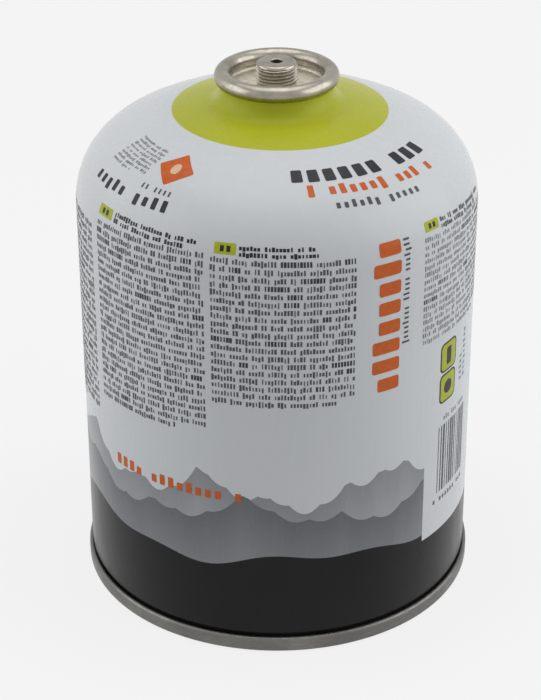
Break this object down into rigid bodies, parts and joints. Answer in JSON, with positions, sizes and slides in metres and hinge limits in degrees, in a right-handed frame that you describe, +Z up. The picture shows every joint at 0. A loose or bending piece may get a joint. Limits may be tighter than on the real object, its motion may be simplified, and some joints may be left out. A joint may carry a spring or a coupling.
{
  "type": "fuel canister",
  "caption": "Screw-valve gas canister: cylindrical steel can with domed shoulder, curled valve ring, threaded boss and seamed concave base.",
  "frame": {"origin": "centre of the ring that the canister stands on, at the height of its lowest face", "axes": "+Z up along the canister's axis, from the standing ring to the threaded boss; -Y faces the side that the picture shows"},
  "size_m": [0.11, 0.11, 0.1497],
  "materials": {
    "printed_can": "gloss lacquer over print: pale grey sides, lime dome, near-black foot",
    "seam_steel": "bare tinned steel, dull",
    "cup_steel": "bare tinned steel, bright",
    "gasket_rubber": "matt",
    "seal_rubber": "matt",
    "housing_plastic": "dark moulding"
  },
  "bodies": {
    "root": {"can_body": "printed_can", "bottom_end": "seam_steel", "valve_cup": "cup_steel", "cup_gasket": "gasket_rubber", "stem_seal": "seal_rubber", "valve_housing": "housing_plastic"}
  },
  "joints": []
}
